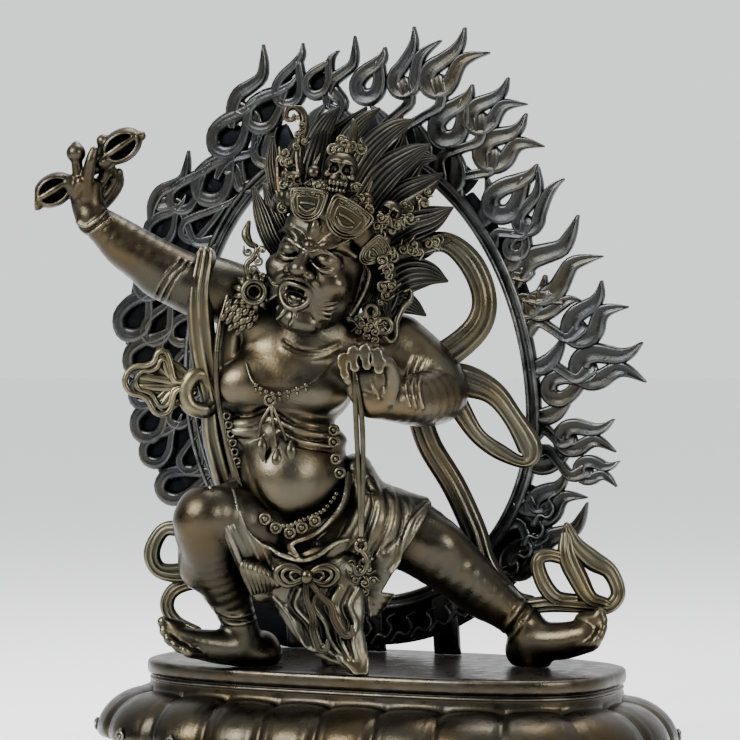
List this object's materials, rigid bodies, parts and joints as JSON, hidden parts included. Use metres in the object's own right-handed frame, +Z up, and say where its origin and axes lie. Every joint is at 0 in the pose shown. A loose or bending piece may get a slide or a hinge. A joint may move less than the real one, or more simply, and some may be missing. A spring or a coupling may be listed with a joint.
{
  "type": "vajrapani statue",
  "caption": "Cast bronze wrathful guardian deity striding with a raised thunderbolt before a flame aureole on an oblong lotus base; stands on a shelf or altar.",
  "frame": {"origin": "centre of the base's flat underside", "axes": "+X along the length of the base towards the figure's left foot, -Y the front that the figure faces, +Z up"},
  "size_m": [0.3029, 0.1838, 0.3539],
  "materials": {
    "lotus_bronze": "dark brown bronze, polished on the petals, grey-green in the hollows",
    "aureole_bronze": "near-black bronze with rubbed silvery-grey rims",
    "figure_bronze": "dark brown bronze, satin, with golden rubbed edges"
  },
  "bodies": {
    "root": {"lotus_base": "lotus_bronze", "flame_aureole": "aureole_bronze", "figure": "figure_bronze"}
  },
  "joints": []
}
